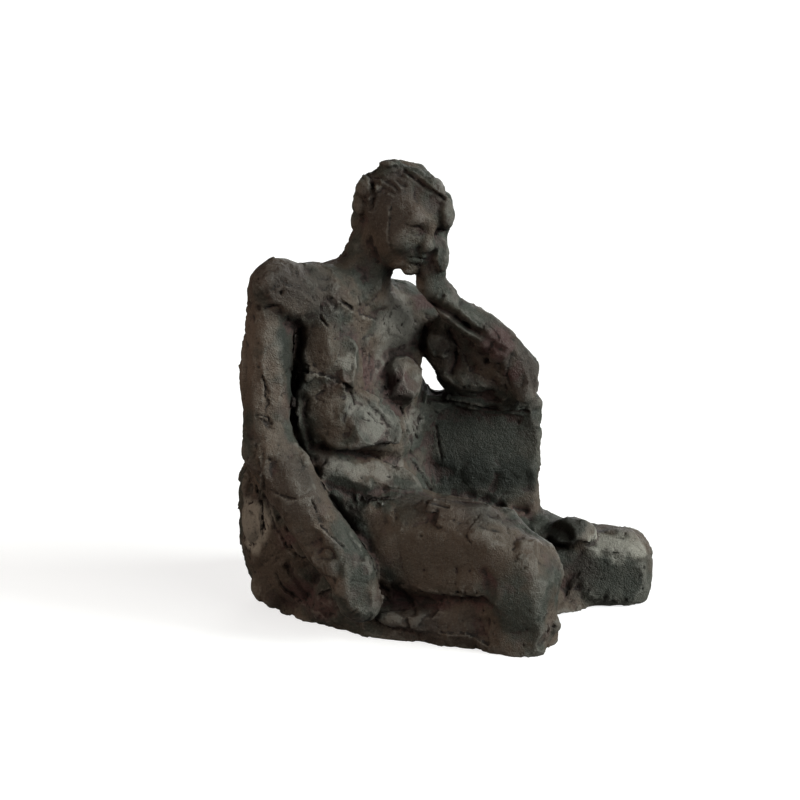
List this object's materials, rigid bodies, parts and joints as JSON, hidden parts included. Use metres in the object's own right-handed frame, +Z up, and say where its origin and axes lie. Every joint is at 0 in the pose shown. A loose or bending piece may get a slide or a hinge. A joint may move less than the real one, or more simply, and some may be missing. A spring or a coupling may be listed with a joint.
{
  "type": "seated figure",
  "caption": "Roughly modelled clay nude, seated on the ground with the head resting on the left hand and the elbow on a block.",
  "frame": {"origin": "on the flat underside, in the clay between the two legs", "axes": "+Z up, +X to the right in the view from the front, towards the left foot, -Y to the front, where the picture was taken"},
  "size_m": [0.2134, 0.1356, 0.23],
  "materials": {
    "clay": "fired clay with a worn dark bronze-brown patina, matt"
  },
  "bodies": {
    "root": {"figure": "clay"}
  },
  "joints": []
}
